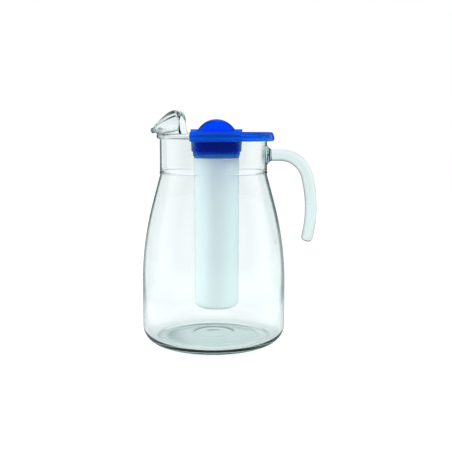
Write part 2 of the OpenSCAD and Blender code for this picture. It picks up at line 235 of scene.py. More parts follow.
# %% [markdown]
# ## The floor
#
# White studio paper, which goes on into the same white as the room. It glows a little where it is
# looked at, so that it meets the room without a line, and less under the jug, where its own shadow
# may show. Through the glass the paper has a painted shade under the jug, which makes it a little
# darker there, and, mirrored, a painted shadow ring of it draws the foot. Each level is a number
# that a ray finds from where it lands and how it came there, so one flat square does it all.

# %% Values of the floor
# Distances are in metres from the jug's axis.
FLOOR_SIZE, FLOOR_GLOW, FLOOR_WHITE = 4.0, 1.05, "#FAFAFA"
NEAR_JUG, FAR_FROM_JUG = 0.16, 0.3
UNDER_JUG, CLEAR_OF_JUG, SHADED_SHARE, FLOOR_SHARE = 0.045, 0.08, 0.5, 0.8
# Painted shade under the jug and a painted shadow ring round its foot, seen only in the glass.
PAINTED_SHADE_IN, PAINTED_SHADE_OUT, PAINTED_SHADE_LEVEL = 0.05, 0.09, 0.8
SHADOW_RING_IN, SHADOW_RING_OUT, SHADOW_RING_SOFT, SHADOW_RING_LEVEL = 0.046, 0.058, 0.004, 0.7
JUG_SIDE = 0.08

# %% Places and rays on the floor
floor_finish, tree = new_material("white studio paper")
place = add_node(tree, "ShaderNodeTexCoord").outputs["Object"]
far = add_node(tree, "ShaderNodeVectorMath", {"operation": "LENGTH"}, _0=place).outputs["Value"]
spot = add_node(tree, "ShaderNodeSeparateXYZ", _0=place)
ahead = add_node(tree, "ShaderNodeMath", {"operation": "DIVIDE"}, _0=spot.outputs["Y"], _1=far)
side = add_node(tree, "ShaderNodeMath", {"operation": "ABSOLUTE"}, _0=spot.outputs["X"])
beside = add_node(tree, "ShaderNodeMath", {"operation": "SUBTRACT"}, _0=side, _1=JUG_SIDE)
aside = add_node(tree, "ShaderNodeMath", {"operation": "DIVIDE"}, _0=beside, _1=far)
depth = add_node(tree, "ShaderNodeLightPath")
level = {}
for name, value, start, end, first, last in (
    ("near", far, NEAR_JUG, FAR_FROM_JUG, 1.0, 0.0),
    ("screen", ahead, SCREEN_FROM, SCREEN_TO, 0.0, 1.0),
    ("not in front", ahead, BACK_FROM, BACK_TO, 0.0, 1.0),
    ("through glass", depth.outputs["Transmission Depth"], 0.0, 1.0, 0.0, 1.0),
    ("unmirrored", depth.outputs["Glossy Depth"], 0.0, 1.0, 1.0, 0.0),
    ("painted shade", far, PAINTED_SHADE_IN, PAINTED_SHADE_OUT, PAINTED_SHADE_LEVEL, 1.0),
    ("ring inside", far, SHADOW_RING_IN - SHADOW_RING_SOFT, SHADOW_RING_IN, 1.0, SHADOW_RING_LEVEL),
    ("shadow ring outside", far, SHADOW_RING_OUT, SHADOW_RING_OUT + SHADOW_RING_SOFT, 0.0, 1.0),
    ("open", far, UNDER_JUG, CLEAR_OF_JUG, SHADED_SHARE, FLOOR_SHARE),
):
    level[name] = add_node(
        tree, "ShaderNodeMapRange", SOFT,
        Value=value, From_Min=start, From_Max=end, To_Min=first, To_Max=last,
    )

print("levels on the floor:", ", ".join(level))

# %% Floor paper
paper = add_node(tree, "ShaderNodeBsdfDiffuse", Color=linear(FLOOR_WHITE))
screen = add_node(tree, "ShaderNodeMath", LARGER, _0=level["near"], _1=level["screen"])
sides = side_light(tree, aside)
sides = add_node(tree, "ShaderNodeMath", TIMES, _0=sides, _1=level["not in front"])
close = add_node(tree, "ShaderNodeMath", TIMES, _0=level["near"], _1=level["through glass"])
bright = add_node(tree, "ShaderNodeMath", LARGER, _0=close, _1=sides)
# Painted shadow: a ring round the foot that only mirrored rays see, times the painted shade under
# the jug.
ring = add_node(tree, "ShaderNodeMath", LARGER, _0=level["ring inside"], _1=level["shadow ring outside"])
ring = add_node(tree, "ShaderNodeMath", LARGER, _0=ring, _1=level["unmirrored"])
shade = add_node(tree, "ShaderNodeMath", TIMES, _0=level["painted shade"], _1=ring)
colour = seen_in_glass(tree, shade, screen, bright)
by_camera = any_of(tree, "Is Camera Ray")
looks = add_node(tree, "ShaderNodeMix", COLOURS, Factor=by_camera, _6=colour, _7=linear(WHITE))
glow = add_node(tree, "ShaderNodeEmission", Color=looks.outputs[2], Strength=FLOOR_GLOW)
looked_at = any_of(tree, "Is Camera Ray", "Is Glossy Ray", "Is Transmission Ray")
share = add_node(tree, "ShaderNodeMath", TIMES, _0=looked_at, _1=level["open"])
both = add_node(tree, "ShaderNodeMixShader", _0=share, _1=paper, _2=glow)
add_node(tree, "ShaderNodeOutputMaterial", Surface=both)
print("floor paper: glow", FLOOR_GLOW)

# %% Floor
bm = bmesh.new()
bmesh.ops.create_grid(bm, x_segments=1, y_segments=1, size=FLOOR_SIZE / 2)
floor_mesh = bpy.data.meshes.new("floor")
bm.to_mesh(floor_mesh)
bm.free()
floor = bpy.data.objects.new("floor", floor_mesh)
floor_mesh.materials.append(floor_finish)
bpy.context.collection.objects.link(floor)
print("floor", FLOOR_SIZE, "m wide")

# %% [markdown]
# ## Lamps
#
# A large soft lamp on each side gives the frosted tube and the knob their form. The glass doesn't
# show the lamps themselves, neither mirrored nor through it, because a bright square would hide its
# outline.

# %% Lamps
LAMP_SIZE, LAMP_SIDE, LAMP_FRONT, LAMP_HEIGHT = 0.7, 1.2, 0.2, 0.7
LAMP_AIM = Vector((0, 0, 0.15))
LEFT_WATTS, RIGHT_WATTS = 15, 11


def soft_box(name, side, watts):
    """A large square lamp on one side of the jug, turned to its middle."""
    data = bpy.data.lights.new(name, "AREA")
    data.shape = "SQUARE"
    data.size = LAMP_SIZE
    data.energy = watts
    lamp = bpy.data.objects.new(name, data)
    lamp.location = (side * LAMP_SIDE, -LAMP_FRONT, LAMP_HEIGHT)
    lamp.rotation_euler = (LAMP_AIM - lamp.location).to_track_quat("-Z", "Y").to_euler()
    lamp.visible_glossy = False
    lamp.visible_transmission = False
    bpy.context.collection.objects.link(lamp)


soft_box("lamp_left", -1, LEFT_WATTS)
soft_box("lamp_right", 1, RIGHT_WATTS)

# %% [markdown]
# ## Glass and plastics
#
# The jug is soda-lime glass, blown into a mould and fire polished: clear from the front and teal
# where the light runs along the wall, because a little iron in the melt absorbs red. So its colour
# is in its volume, by the length of the way through it. A lamp's light may pass it, as a light
# through a window does.

# %% Jug glass
GLASS_IOR, GLASS_DENSITY = 1.52, 26.0
GLASS_TEAL, GLASS_SHADOW = "#98D8D4", "#F4FAF9"


def let_lamps_through(tree, surface, tint):
    """Mixes in a clear shader for shadow rays, so that lamps light what stands behind the piece."""
    paths = add_node(tree, "ShaderNodeLightPath")
    clear = add_node(tree, "ShaderNodeBsdfTransparent", Color=linear(tint))
    return add_node(
        tree, "ShaderNodeMixShader", _0=paths.outputs["Is Shadow Ray"], _1=surface, _2=clear
    )


jug_glass, tree = new_material("clear soda glass, fire polished")
skin = add_node(
    tree, "ShaderNodeBsdfPrincipled",
    Base_Color=linear(WHITE), Roughness=0.0, IOR=GLASS_IOR, Transmission_Weight=1.0,
)
tint = add_node(
    tree, "ShaderNodeVolumeAbsorption", Color=linear(GLASS_TEAL), Density=GLASS_DENSITY
)
mixed = let_lamps_through(tree, skin, GLASS_SHADOW)
add_node(tree, "ShaderNodeOutputMaterial", Surface=mixed, Volume=tint)
print("glass: IOR", GLASS_IOR)

# %% [markdown]
# The lid and the cap are polypropylene with a strong blue dye, injection moulded in a polished
# mould. One wall lets a good part of the light through, and several walls behind each other look
# nearly black. Where a wall ends in a thin edge, as at the foot of the socket and of the cap, it is
# clearer and holds less dye, and below a given height its colour is painted paler: painted light
# that stands in for the light shining through the thin edge. The mould's polish isn't quite even,
# so the gloss varies in soft patches, about three in 50 mm. The IOR is lower than the real 1.49:
# rays then pass the thin walls nearly straight, and the blue stays as even as it is on the real
# lid.

# %% Blue plastic
PLASTIC_IOR, PLASTIC_GLOSS = 1.09, 0.3
SATIN_MM, SATIN_LOW, SATIN_HIGH = 50 / 3, 0.04, 0.09
NOISE_LOW, NOISE_HIGH = 0.3, 0.7
DYE, BLUE_SHADOW = "#00C1FB", "#2C56A8"
THIN_BACKLIT_SOFT_MM = 1.0


def blue_polypropylene(name, colour, density, clear, thin_backlit_colour, thin_backlit_below):
    """Blue dyed clear plastic, clearer below a height in mm, where painted light makes it paler."""
    material, tree = new_material(name)
    place = add_node(tree, "ShaderNodeTexCoord").outputs["Object"]
    flow = add_node(
        tree, "ShaderNodeTexNoise", {"noise_dimensions": "3D"},
        Vector=place, Scale=1 / (SATIN_MM * MM), Detail=3.0,
    )
    satin = add_node(
        tree, "ShaderNodeMapRange",
        Value=flow, From_Min=NOISE_LOW, From_Max=NOISE_HIGH, To_Min=SATIN_LOW, To_Max=SATIN_HIGH,
    )
    height = add_node(tree, "ShaderNodeSeparateXYZ", Vector=place).outputs["Z"]
    # Below the given height the skin is clearer, and a paler colour is painted there as light
    # shining through the thin edge.
    thin, through = (
        add_node(
            tree, "ShaderNodeMapRange", SOFT,
            Value=height, From_Min=(thin_backlit_below - THIN_BACKLIT_SOFT_MM) * MM, From_Max=thin_backlit_below * MM,
            To_Min=1.0, To_Max=upper,
        )
        for upper in (0.0, clear)
    )
    blue = add_node(
        tree, "ShaderNodeMix", COLOURS, Factor=thin, _6=linear(colour), _7=linear(thin_backlit_colour)
    )
    skin = add_node(
        tree, "ShaderNodeBsdfPrincipled", Base_Color=blue.outputs[2], Roughness=satin,
        IOR=PLASTIC_IOR, Transmission_Weight=through, Specular_IOR_Level=PLASTIC_GLOSS,
    )
    dye = add_node(tree, "ShaderNodeVolumeAbsorption", Color=linear(DYE), Density=density)
    mixed = let_lamps_through(tree, skin, BLUE_SHADOW)
    add_node(tree, "ShaderNodeOutputMaterial", Surface=mixed, Volume=dye)
    print(name, "density", density)
    return material


# The second blue of each is painted light: the paler colour of a thin edge that light shines
# through.
lid_plastic = blue_polypropylene(
    "light blue polypropylene, moulded",
    colour="#2896FF", density=60.0, clear=0.9, thin_backlit_colour="#70C4FF", thin_backlit_below=206.0,
)
cap_plastic = blue_polypropylene(
    "deep blue polypropylene, moulded",
    colour="#0084FF", density=120.0, clear=0.93, thin_backlit_colour="#98D8FF", thin_backlit_below=193.5,
)

# %% [markdown]
# The tube is natural polypropylene too, without dye. Its mould was sand blasted, so the skin
# scatters the light and the tube looks like thin ice. Real grit is finer than the picture can show,
# so the grain is drawn at 0.8 mm.

# %% Frosted plastic
FROST_GRAIN_MM, FROST_DEPTH_MM = 0.8, 0.1
FROST_SHADOW = "#D8E4E4"

frosted_plastic, tree = new_material("frosted natural polypropylene, moulded")
place = add_node(tree, "ShaderNodeTexCoord").outputs["Object"]
grain = add_node(
    tree, "ShaderNodeTexNoise", {"noise_dimensions": "3D"},
    Vector=place, Scale=1 / (FROST_GRAIN_MM * MM), Detail=2.0,
)
bump = add_node(tree, "ShaderNodeBump", Strength=0.12, Distance=FROST_DEPTH_MM * MM, Height=grain)
skin = add_node(
    tree, "ShaderNodeBsdfPrincipled",
    Base_Color=linear(WHITE), Roughness=0.45, IOR=1.49, Transmission_Weight=0.55, Normal=bump,
    Sheen_Weight=0.7, Sheen_Roughness=0.35, Sheen_Tint=linear(WHITE),
)
mixed = let_lamps_through(tree, skin, FROST_SHADOW)
add_node(tree, "ShaderNodeOutputMaterial", Surface=mixed)
print("frost: a grain of", FROST_GRAIN_MM, "mm")

# %% [markdown]
# The seal is pressed silicone rubber, matt and pale grey, with a trace of the talc that keeps such
# rings from sticking to each other.

# %% Silicone of the seal
TALC_MM = 2.5

seal_silicone, tree = new_material("pale grey silicone")
place = add_node(tree, "ShaderNodeTexCoord").outputs["Object"]
talc = add_node(tree, "ShaderNodeTexNoise", Vector=place, Scale=1 / (TALC_MM * MM))
grey = add_node(
    tree, "ShaderNodeMix", COLOURS, Factor=talc, _6=linear("#C9CED0"), _7=linear("#DADFE0")
)
skin = add_node(
    tree, "ShaderNodeBsdfPrincipled", Base_Color=grey.outputs[2], Roughness=0.6, IOR=1.41
)
add_node(tree, "ShaderNodeOutputMaterial", Surface=skin)
print("seal: patches of", TALC_MM, "mm")

# %% [markdown]
# ## Making a piece
#
# Turned pieces start from half a section, which a spin takes round the axis. Swept and bent pieces
# start from a grid, whose points are laid on the form. Both end as one closed skin whose faces
# point outwards, which clear glass needs: a ray has to know where it goes in and where it comes
# out.

# %% Outlines
STRETCH, LONG_STRETCH = 6.0, 8.0


def arc(centre, radius, start, end, steps):
    """Points of an arc in the plane of a section, by angle in degrees."""
    angles = [math.radians(start + (end - start) * i / steps) for i in range(steps + 1)]
    return [(centre[0] + radius * math.cos(a), centre[1] + radius * math.sin(a)) for a in angles]


def divided(points, longest):
    """The same outline with points between, so that no stretch is longer than this."""
    out = [points[0]]
    for p, q in zip(points, points[1:]):
        parts = max(1, math.ceil(math.dist(p, q) / longest))
        for i in range(1, parts + 1):
            out.append((p[0] + (q[0] - p[0]) * i / parts, p[1] + (q[1] - p[1]) * i / parts))
    return out


# %% Turned and laid skins
MERGE, SLIVER = 0.001 * MM, 0.0001 * MM
SIDES = 144


def turned(outline, centre_x=0.0, sides=SIDES, closed=False):
    """A bmesh of an outline (radius, height in mm) taken round an upright axis."""
    bm = bmesh.new()
    verts = [bm.verts.new((r * MM, 0, z * MM)) for r, z in outline]
    pairs = list(zip(verts, verts[1:])) + ([(verts[-1], verts[0])] if closed else [])
    edges = [bm.edges.new(pair) for pair in pairs]
    bmesh.ops.spin(
        bm, geom=verts + edges, cent=(0, 0, 0), axis=(0, 0, 1), dvec=(0, 0, 0),
        angle=2 * math.pi, steps=sides, use_merge=True, use_normal_flip=False, use_duplicate=False,
    )
    bmesh.ops.remove_doubles(bm, verts=bm.verts, dist=MERGE)
    # An edge that lies on the axis gets no face from the spin.
    on_axis = [edge for edge in bm.edges if not edge.link_faces]
    bmesh.ops.delete(bm, geom=on_axis, context="EDGES")
    bmesh.ops.translate(bm, verts=bm.verts, vec=(centre_x * MM, 0, 0))
    bmesh.ops.recalc_face_normals(bm, faces=bm.faces)
    return bm


def laid(columns, rows, place):
    """A bmesh of a grid whose point at column i and row j goes to place(i, j), in mm."""
    bm = bmesh.new()
    bmesh.ops.create_grid(bm, x_segments=columns, y_segments=rows, size=1)
    for v in bm.verts:
        i, j = round((v.co.x + 1) / 2 * columns), round((v.co.y + 1) / 2 * rows)
        v.co = Vector(place(i, j)) * MM
    bmesh.ops.remove_doubles(bm, verts=bm.verts, dist=MERGE)
    bmesh.ops.dissolve_degenerate(bm, edges=bm.edges, dist=SLIVER)
    bmesh.ops.recalc_face_normals(bm, faces=bm.faces)
    return bm


# %% Objects
def to_object(bm, name):
    """A linked object with this mesh, at the origin."""
    mesh = bpy.data.meshes.new(name)
    bm.to_mesh(mesh)
    bm.free()
    thing = bpy.data.objects.new(name, mesh)
    bpy.context.collection.objects.link(thing)
    return thing


def combine(thing, tool, operation):
    """Joins a tool to a piece or cuts it out of it, and deletes the tool."""
    cut = thing.modifiers.new(operation, "BOOLEAN")
    cut.operation, cut.solver, cut.object = operation, "EXACT", tool
    bpy.context.view_layer.update()
    evaluated = thing.evaluated_get(bpy.context.evaluated_depsgraph_get())
    done = bpy.data.meshes.new_from_object(evaluated)
    thing.modifiers.clear()
    thing.data, old = done, thing.data
    bpy.data.meshes.remove(old)
    bpy.data.objects.remove(tool)


# %% The finish of a piece
ML_PER_M3 = 1e6


def complete(thing, material, body, nodes, crease=32):
    """Smooths a piece up to its creases, gives it its finish, and sets it in the frame."""
    thing.data.name = thing.name
    thing.data.materials.clear()
    thing.data.materials.append(material)
    thing.data.polygons.foreach_set("use_smooth", [True] * len(thing.data.polygons))
    thing.data.set_sharp_from_angle(angle=math.radians(crease))
    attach(thing, body)
    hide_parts(*nodes)
    test = bmesh.new()
    test.from_mesh(thing.data)
    open_edges = sum(not e.is_manifold for e in test.edges)
    volume = round(test.calc_volume() * ML_PER_M3, 1)
    print(thing.name, "faces", len(test.faces), "open edges", open_edges, "ml", volume)
    test.free()


# %% [markdown]
# ## The jug
#
# A jug like this is blown into a round mould. Half a section holds it all: the hollow under the
# floor with the mould's two rings, the rounded heel, the upright belly, the long shoulder, the
# crease, the straight neck with the mould's seam and the bead, and then the inner face all the way
# down to the floor. The crease is a tight curve here, because glass never folds sharply.
#
# The wall could also be one skin that a Solidify modifier makes thick. Drawing both faces keeps
# the heavy floor, its round inside corner and the rolled rim true, and glass shows them all.

# %% Sizes of the jug in millimetres
BELLY_R, NECK_R, WALL = 73.3, 54.4, 3.0
UPRIGHT_Z, SLOPE_Z, NECK_Z, RIM_Z = 60.0, 144.0, 172.4, 213.6
FLOOR_T, FLOOR_CROWN, HEEL_R, WELL_R = 5.5, 4.0, 18.0, 12.0
FOOT_W, PUNT_H = 7.0, 3.0
MARK_R, MARK_T, MARK_SOFT, PAST_MARKS, INNER_MARK_SHARE = 17.0, 0.08, 3.2, 1.0, 0.45
BEAD_R, BEAD_OUT, BEAD_FOOT, LIP_R = 2.4, 3.3, 0.5, 1.2
CREASE_SOFT, SEAM_T, SEAM_H, SEAM_RISE = 0.5, 0.6, 2.0, 2.2
print("jug: belly", 2 * BELLY_R, "mm wide, rim", RIM_Z, "mm high")

# %% Shoulder: an arc and a straight slope that meet the neck
SLOPE_ROUNDS = 8
half_tan = 0.0
for again in range(SLOPE_ROUNDS):
    slope_run = SLOPE_Z - UPRIGHT_Z + 2 * (NECK_Z - SLOPE_Z) / (1 - half_tan**2)
    half_tan = (BELLY_R - NECK_R) / slope_run
slope = 2 * math.degrees(math.atan(half_tan))
shoulder_r = (SLOPE_Z - UPRIGHT_Z) / math.sin(math.radians(slope))
shoulder_mid = (BELLY_R - shoulder_r, UPRIGHT_Z)
print("shoulder radius", round(shoulder_r, 1), "mm, slope", round(slope, 2), "degrees")

# %% Hollow under the floor
foot_r = BELLY_R - HEEL_R
punt_edge = foot_r - FOOT_W
punt_ball = (punt_edge**2 + PUNT_H**2) / (2 * PUNT_H)
inner_mark_r = INNER_MARK_SHARE * MARK_R
past_marks = MARK_R + MARK_SOFT + PAST_MARKS


def punt_z(r):
    """Height of the hollow under the floor at a radius."""
    return math.sqrt(punt_ball**2 - r * r) - punt_ball + PUNT_H


def step(r, at, rise):
    """A soft step of the hollow round this radius."""
    return rise * 0.5 * (1 + math.sin(math.pi / 2 * max(-1.0, min(1.0, (r - at) / MARK_SOFT))))


MARK_STEPS, PUNT_STEPS = 31, 10
hollow = [(0, punt_z(0) + MARK_T)]
for i in range(1, MARK_STEPS + 1):
    r = (MARK_R + MARK_SOFT) * i / MARK_STEPS
    hollow.append((r, punt_z(r) + MARK_T - step(r, inner_mark_r, MARK_T) + step(r, MARK_R, MARK_T)))
for i in range(PUNT_STEPS + 1):
    r = past_marks + (punt_edge - past_marks) * i / PUNT_STEPS
    hollow.append((r, punt_z(r)))
print("hollow of", len(hollow), "points")

# %% Crease between the slope and the neck
CREASE_STEPS, BEFORE_SHARE, AFTER_SHARE = 5, 0.6, 1.6


def crease_points(r, z, soft):
    """A short curve in place of the fold, with a point on the slope before it and one after it."""
    angle = math.radians(slope)
    low, high = (r + soft * math.sin(angle), z - soft * math.cos(angle)), (r, z + soft)
    before = tuple(a + BEFORE_SHARE * (a - b) for a, b in zip(low, (r, z)))
    curve = []
    for i in range(CREASE_STEPS + 1):
        s = i / CREASE_STEPS
        first, middle, last = (1 - s) ** 2, 2 * (1 - s) * s, s * s
        curve.append(tuple(first * a + middle * b + last * c for a, b, c in zip(low, (r, z), high)))
    return [before] + curve + [(r, z + AFTER_SHARE * soft)]


# %% Section of the jug
HEEL_STEPS, SHOULDER_STEPS, SEAM_STEPS, BEAD_STEPS = 18, 26, 8, 14
LIP_ROUND_STEPS, WELL_STEPS, CROWN_STEPS = 6, 14, 16
BEAD_START = -80
neck_in = NECK_R - WALL
bead_mid = (NECK_R + BEAD_OUT - BEAD_R, RIM_Z - BEAD_R)
seam_z = NECK_Z + SEAM_RISE
outer = arc((foot_r, HEEL_R), HEEL_R, -90, 0, HEEL_STEPS)[1:]
outer += arc(shoulder_mid, shoulder_r, 0, slope, SHOULDER_STEPS)
outer += crease_points(NECK_R, NECK_Z, CREASE_SOFT)
for i in range(SEAM_STEPS + 1):
    bulge = SEAM_T * math.sin(math.pi * i / SEAM_STEPS) ** 2
    outer.append((NECK_R + bulge, seam_z + SEAM_H * (i / SEAM_STEPS - 0.5)))
outer += [(NECK_R, bead_mid[1] - BEAD_R - BEAD_FOOT)]
outer += arc(bead_mid, BEAD_R, BEAD_START, 90, BEAD_STEPS)
inner = arc((neck_in + LIP_R, RIM_Z - LIP_R), LIP_R, 90, 180, LIP_ROUND_STEPS)
fold_z = NECK_Z - WALL * math.tan(math.radians(slope / 2))
inner += reversed(crease_points(neck_in, fold_z, CREASE_SOFT))
inner += arc(shoulder_mid, shoulder_r - WALL, slope, 0, SHOULDER_STEPS)
well_edge = BELLY_R - WALL - WELL_R
inner += arc((well_edge, FLOOR_T + WELL_R), WELL_R, 0, -90, WELL_STEPS)
crown_ball = (well_edge**2 + FLOOR_CROWN**2) / (2 * FLOOR_CROWN)
crown_angle = math.degrees(math.asin(well_edge / crown_ball))
crown_mid = (0, FLOOR_T + FLOOR_CROWN - crown_ball)
crown = arc(crown_mid, crown_ball, 90 - crown_angle, 90, CROWN_STEPS)
section = hollow[:-1] + divided([hollow[-1], (foot_r, 0)] + outer + inner + crown[1:], STRETCH)
jug = to_object(turned(section), "glass_jug")
print("section of", len(section), "points")

# %% [markdown]
# ## The ice lip
#
# It makes this kind of jug what it is: the rim rolls out into a beak, and on both sides of it the
# glass stands up as an ear that leans in over the mouth, to hold the ice back. It is one sheet. A
# grid of points goes round its section, up the outside, over the edge and down the inside, and
# along it from ear to ear.
#
# The rim's own points could be pulled into the same form, but they would be stretched to long thin
# faces at the ears. A sheet of its own has its points where it bends, and a union melts it into
# the neck.

# %% Sizes of the ice lip in millimetres
TIP_OUT, TIP_RISE, TIP_T = 6.5, 3.5, 6.2
EAR_T, EAR_ROOT_T, THICK_POWER = 3.0, 5.2, 4
LIP_ANGLE, EAR_SPREAD, SPREAD_POWER = 54.5, 3.8, 9
EAR_BACK, EAR_GAP, EAR_RISE = 32.1, 46.0, 18.4
LIP_LOW_SHARE, BEAK_WIDE_SHARE = 1.2, 0.6
EAR_CURVE_SHARES = (-0.18, -0.12, 0.73)
FLARE_OUT_SHARE, FLARE_UP_SHARE = 1.02, 0.9

lip_mid_r = NECK_R + (BEAD_OUT - WALL) / 2
lip_low = RIM_Z - LIP_LOW_SHARE * BEAD_R
lip_run = lip_mid_r * math.radians(LIP_ANGLE)
ear_size = (NECK_R + TIP_OUT - EAR_BACK, EAR_GAP / 2, EAR_RISE)
tip = Vector((-NECK_R - TIP_OUT, 0, RIM_Z + TIP_RISE))
corner = Vector((-EAR_BACK, EAR_GAP / 2, RIM_Z + EAR_RISE))
lip_curve = [
    tip,
    tip + Vector((0, BEAK_WIDE_SHARE * ear_size[1], 0)),
    corner + Vector([share * size for share, size in zip(EAR_CURVE_SHARES, ear_size)]),
    corner,
]
print("lip: tip", tuple(round(v, 1) for v in tip), "ear", tuple(round(v, 1) for v in corner))


# %% Sheet of the ice lip
def on_curve(points, s):
    """A point on the curve with these control points."""
    while len(points) > 1:
        points = [(1 - s) * a + s * b for a, b in zip(points, points[1:])]
    return points[0]


def sheet(t, u):
    """The middle of the sheet: t runs from ear to ear by way of the beak, u from rim to edge."""
    turn = math.radians(LIP_ANGLE) * t * (1 + EAR_SPREAD / lip_run * (1 - u) ** SPREAD_POWER)
    foot = Vector((-lip_mid_r * math.cos(turn), lip_mid_r * math.sin(turn), lip_low))
    edge = on_curve(lip_curve, abs(t)).copy()
    edge.y = math.copysign(edge.y, t)
    flare_z = lip_low + FLARE_UP_SHARE * (edge.z - lip_low)
    flare = Vector((foot.x * FLARE_OUT_SHARE, foot.y * FLARE_OUT_SHARE, flare_z))
    return on_curve([foot, flare, edge], u)


def sheet_frame(t, u, reach=0.002):
    """Directions up the sheet and across it."""
    along = (sheet(t + reach, u) - sheet(t - reach, u)).normalized()
    upward = (sheet(t, u + reach) - sheet(t, u - reach)).normalized()
    return upward, along.cross(upward).normalized()


def sheet_half(t, u):
    """Half the thickness of the glass there."""
    beak = (max(0.0, 1 - abs(t)) * u) ** THICK_POWER
    root = (1 - u) ** THICK_POWER
    return (EAR_T + (TIP_T - EAR_T) * beak + (EAR_ROOT_T - EAR_T) * root) / 2


# %% Skin of the ice lip
LIP_ROWS, EDGE_STEPS, LIP_COLUMNS, END_STEPS = 16, 10, 96, 6
CROWDING = 0.6
ring_points = [("out", k / LIP_ROWS) for k in range(LIP_ROWS)]
ring_points += [("edge", math.pi * k / EDGE_STEPS) for k in range(EDGE_STEPS + 1)]
ring_points += [("in", k / LIP_ROWS) for k in range(LIP_ROWS - 1, -1, -1)]
ring_points.append(ring_points[0])
round_t = EAR_T / 2 / lip_run
stations = []
for i in range(END_STEPS + 1):
    a = math.pi / 2 * (1 - i / END_STEPS)
    stations.append((-1 - round_t * math.sin(a), math.cos(a)))
for i in range(1, LIP_COLUMNS):
    s = -1 + 2 * i / LIP_COLUMNS
    stations.append((s - CROWDING * math.sin(2 * math.pi * s) / (2 * math.pi), 1.0))
for i in range(END_STEPS + 1):
    a = math.pi / 2 * i / END_STEPS
    stations.append((1 + round_t * math.sin(a), math.cos(a)))


def lip_place(i, j):
    """A point of the lip's skin: a station along it and a point of the ring round its section."""
    t, share = stations[i]
    where, value = ring_points[j]
    if where == "edge":
        upward, across = sheet_frame(t, 1)
        half = share * sheet_half(t, 1)
        return sheet(t, 1) + half * (math.sin(value) * upward - math.cos(value) * across)
    upward, across = sheet_frame(t, value)
    side = -1 if where == "out" else 1
    return sheet(t, value) + side * share * sheet_half(t, value) * across


lip = to_object(laid(len(stations) - 1, len(ring_points) - 1, lip_place), "ice_lip")
combine(jug, lip, "UNION")
print("ice lip of", len(stations), "by", len(ring_points), "points")

# %% [markdown]
# ## The handle
#
# A gather of hot glass is stuck to the neck, drawn into a rod and bent over a form, and its end
# hangs free. The root spreads where it melts into the wall. The rod is an oval ring taken along a
# path of a stub, a tight bend and a long grip, and then melted into the jug: one piece of glass
# with no joint inside. A curve with a bevel would give the rod as quickly, but not the spread of
# its root or the rounded end.

# %% Sizes of the handle in millimetres
ROD_T, ROD_W, ROD_Z, ROD_END_L = 11.8, 16.0, 192.3, 4.0
STUB_L, BEND_R, GRIP_R = 13.6, 28.0, 129.0
BEND_ANGLE, GRIP_ANGLE = 75.0, 28.6
ROOT_IN, ROOT_OUT, ROOT_L, ROOT_POWER = 2.2, 4.6, 5.5, 2.2

stub_x, bend_x = NECK_R - ROOT_IN, NECK_R + STUB_L
stub_run = bend_x - stub_x
bend_end = math.radians(BEND_ANGLE)
bend_run = BEND_R * bend_end
rod_run = stub_run + bend_run + GRIP_R * math.radians(GRIP_ANGLE)
grip_x = bend_x + (BEND_R - GRIP_R) * math.sin(bend_end)
grip_z = ROD_Z - BEND_R + (BEND_R - GRIP_R) * math.cos(bend_end)
print("rod of", round(rod_run, 1), "mm")


# %% Path of the rod
def rod_at(d):
    """Middle of the rod at a distance along it, and how far it has turned down."""
    if d < stub_run:
        return (stub_x + d, ROD_Z), 0.0
    if d < stub_run + bend_run:
        turn = (d - stub_run) / BEND_R
        return (bend_x + BEND_R * math.sin(turn), ROD_Z - BEND_R + BEND_R * math.cos(turn)), turn
    turn = bend_end + (d - stub_run - bend_run) / GRIP_R
    return (grip_x + GRIP_R * math.sin(turn), grip_z + GRIP_R * math.cos(turn)), turn


# %% Skin of the rod
# A station is a distance along the rod, a share of its thickness, and a way past its end.
ROD_SIDES, ROOT_RINGS, ROD_RINGS, END_RINGS = 40, 12, 70, 8
rod_stations = [(0.0, 0.0, 0.0)]
rod_stations += [(i * (ROOT_IN + ROOT_L) / ROOT_RINGS, 1.0, 0.0) for i in range(ROOT_RINGS)]
for i in range(ROD_RINGS + 1):
    rod_stations.append((ROOT_IN + ROOT_L + (rod_run - ROOT_IN - ROOT_L) * i / ROD_RINGS, 1.0, 0.0))
for i in range(1, END_RINGS + 1):
    a = math.pi / 2 * i / END_RINGS
    rod_stations.append((rod_run, math.cos(a), ROD_END_L * math.sin(a)))


def rod_place(i, j):
    """A point of the rod's skin."""
    d, share, past = rod_stations[i]
    (x, z), turn = rod_at(d)
    x, z = x + past * math.cos(turn), z - past * math.sin(turn)
    spread = ROOT_OUT * max(0.0, 1 - max(0.0, d - ROOT_IN) / ROOT_L) ** ROOT_POWER
    a = 2 * math.pi * j / ROD_SIDES
    thick = share * (ROD_T / 2 + spread) * math.cos(a)
    wide = share * (ROD_W / 2 + spread) * math.sin(a)
    return x + thick * math.sin(turn), wide, z + thick * math.cos(turn)


rod = to_object(laid(len(rod_stations) - 1, ROD_SIDES, rod_place), "rod")
combine(jug, rod, "UNION")
complete(jug, jug_glass, "jug", ["jug", "handle"], crease=40)

# %% [markdown]
# ## The lid
#
# One moulding: a plate with a rounded skirt outside the rim, a locating ring inside it, a straight
# cut on the side of the spout, and the socket for the ice tube, whose collar stands above the
# plate.
#
# It is turned whole and then cut with a plane, because a part turn would leave the cut's face to
# be made by hand. The wall under the cut and the socket are joined on, and the bore comes last, so
# that it goes clean through all of them.

# %% Sizes of the lid in millimetres
LID_T, SKIRT_H, SKIRT_GAP, SKIRT_FLARE = 1.6, 9.2, 2.7, 0.9
LID_CORNER_R, SKIRT_EDGE_R = 3.2, 2.6
CHORD_X, RING_H, RING_GAP, SEAT_GAP = 20.5, 6.0, 0.6, 0.3
SET_BACK, SOCKET_R, COLLAR_H, SOCKET_H = 3.0, 26.3, 2.8, 19.6
SOCKET_DRAFT, LEDGE_Z, CAP_R, SOCKET_GAP = 0.9, 1.9, 23.9, 0.3

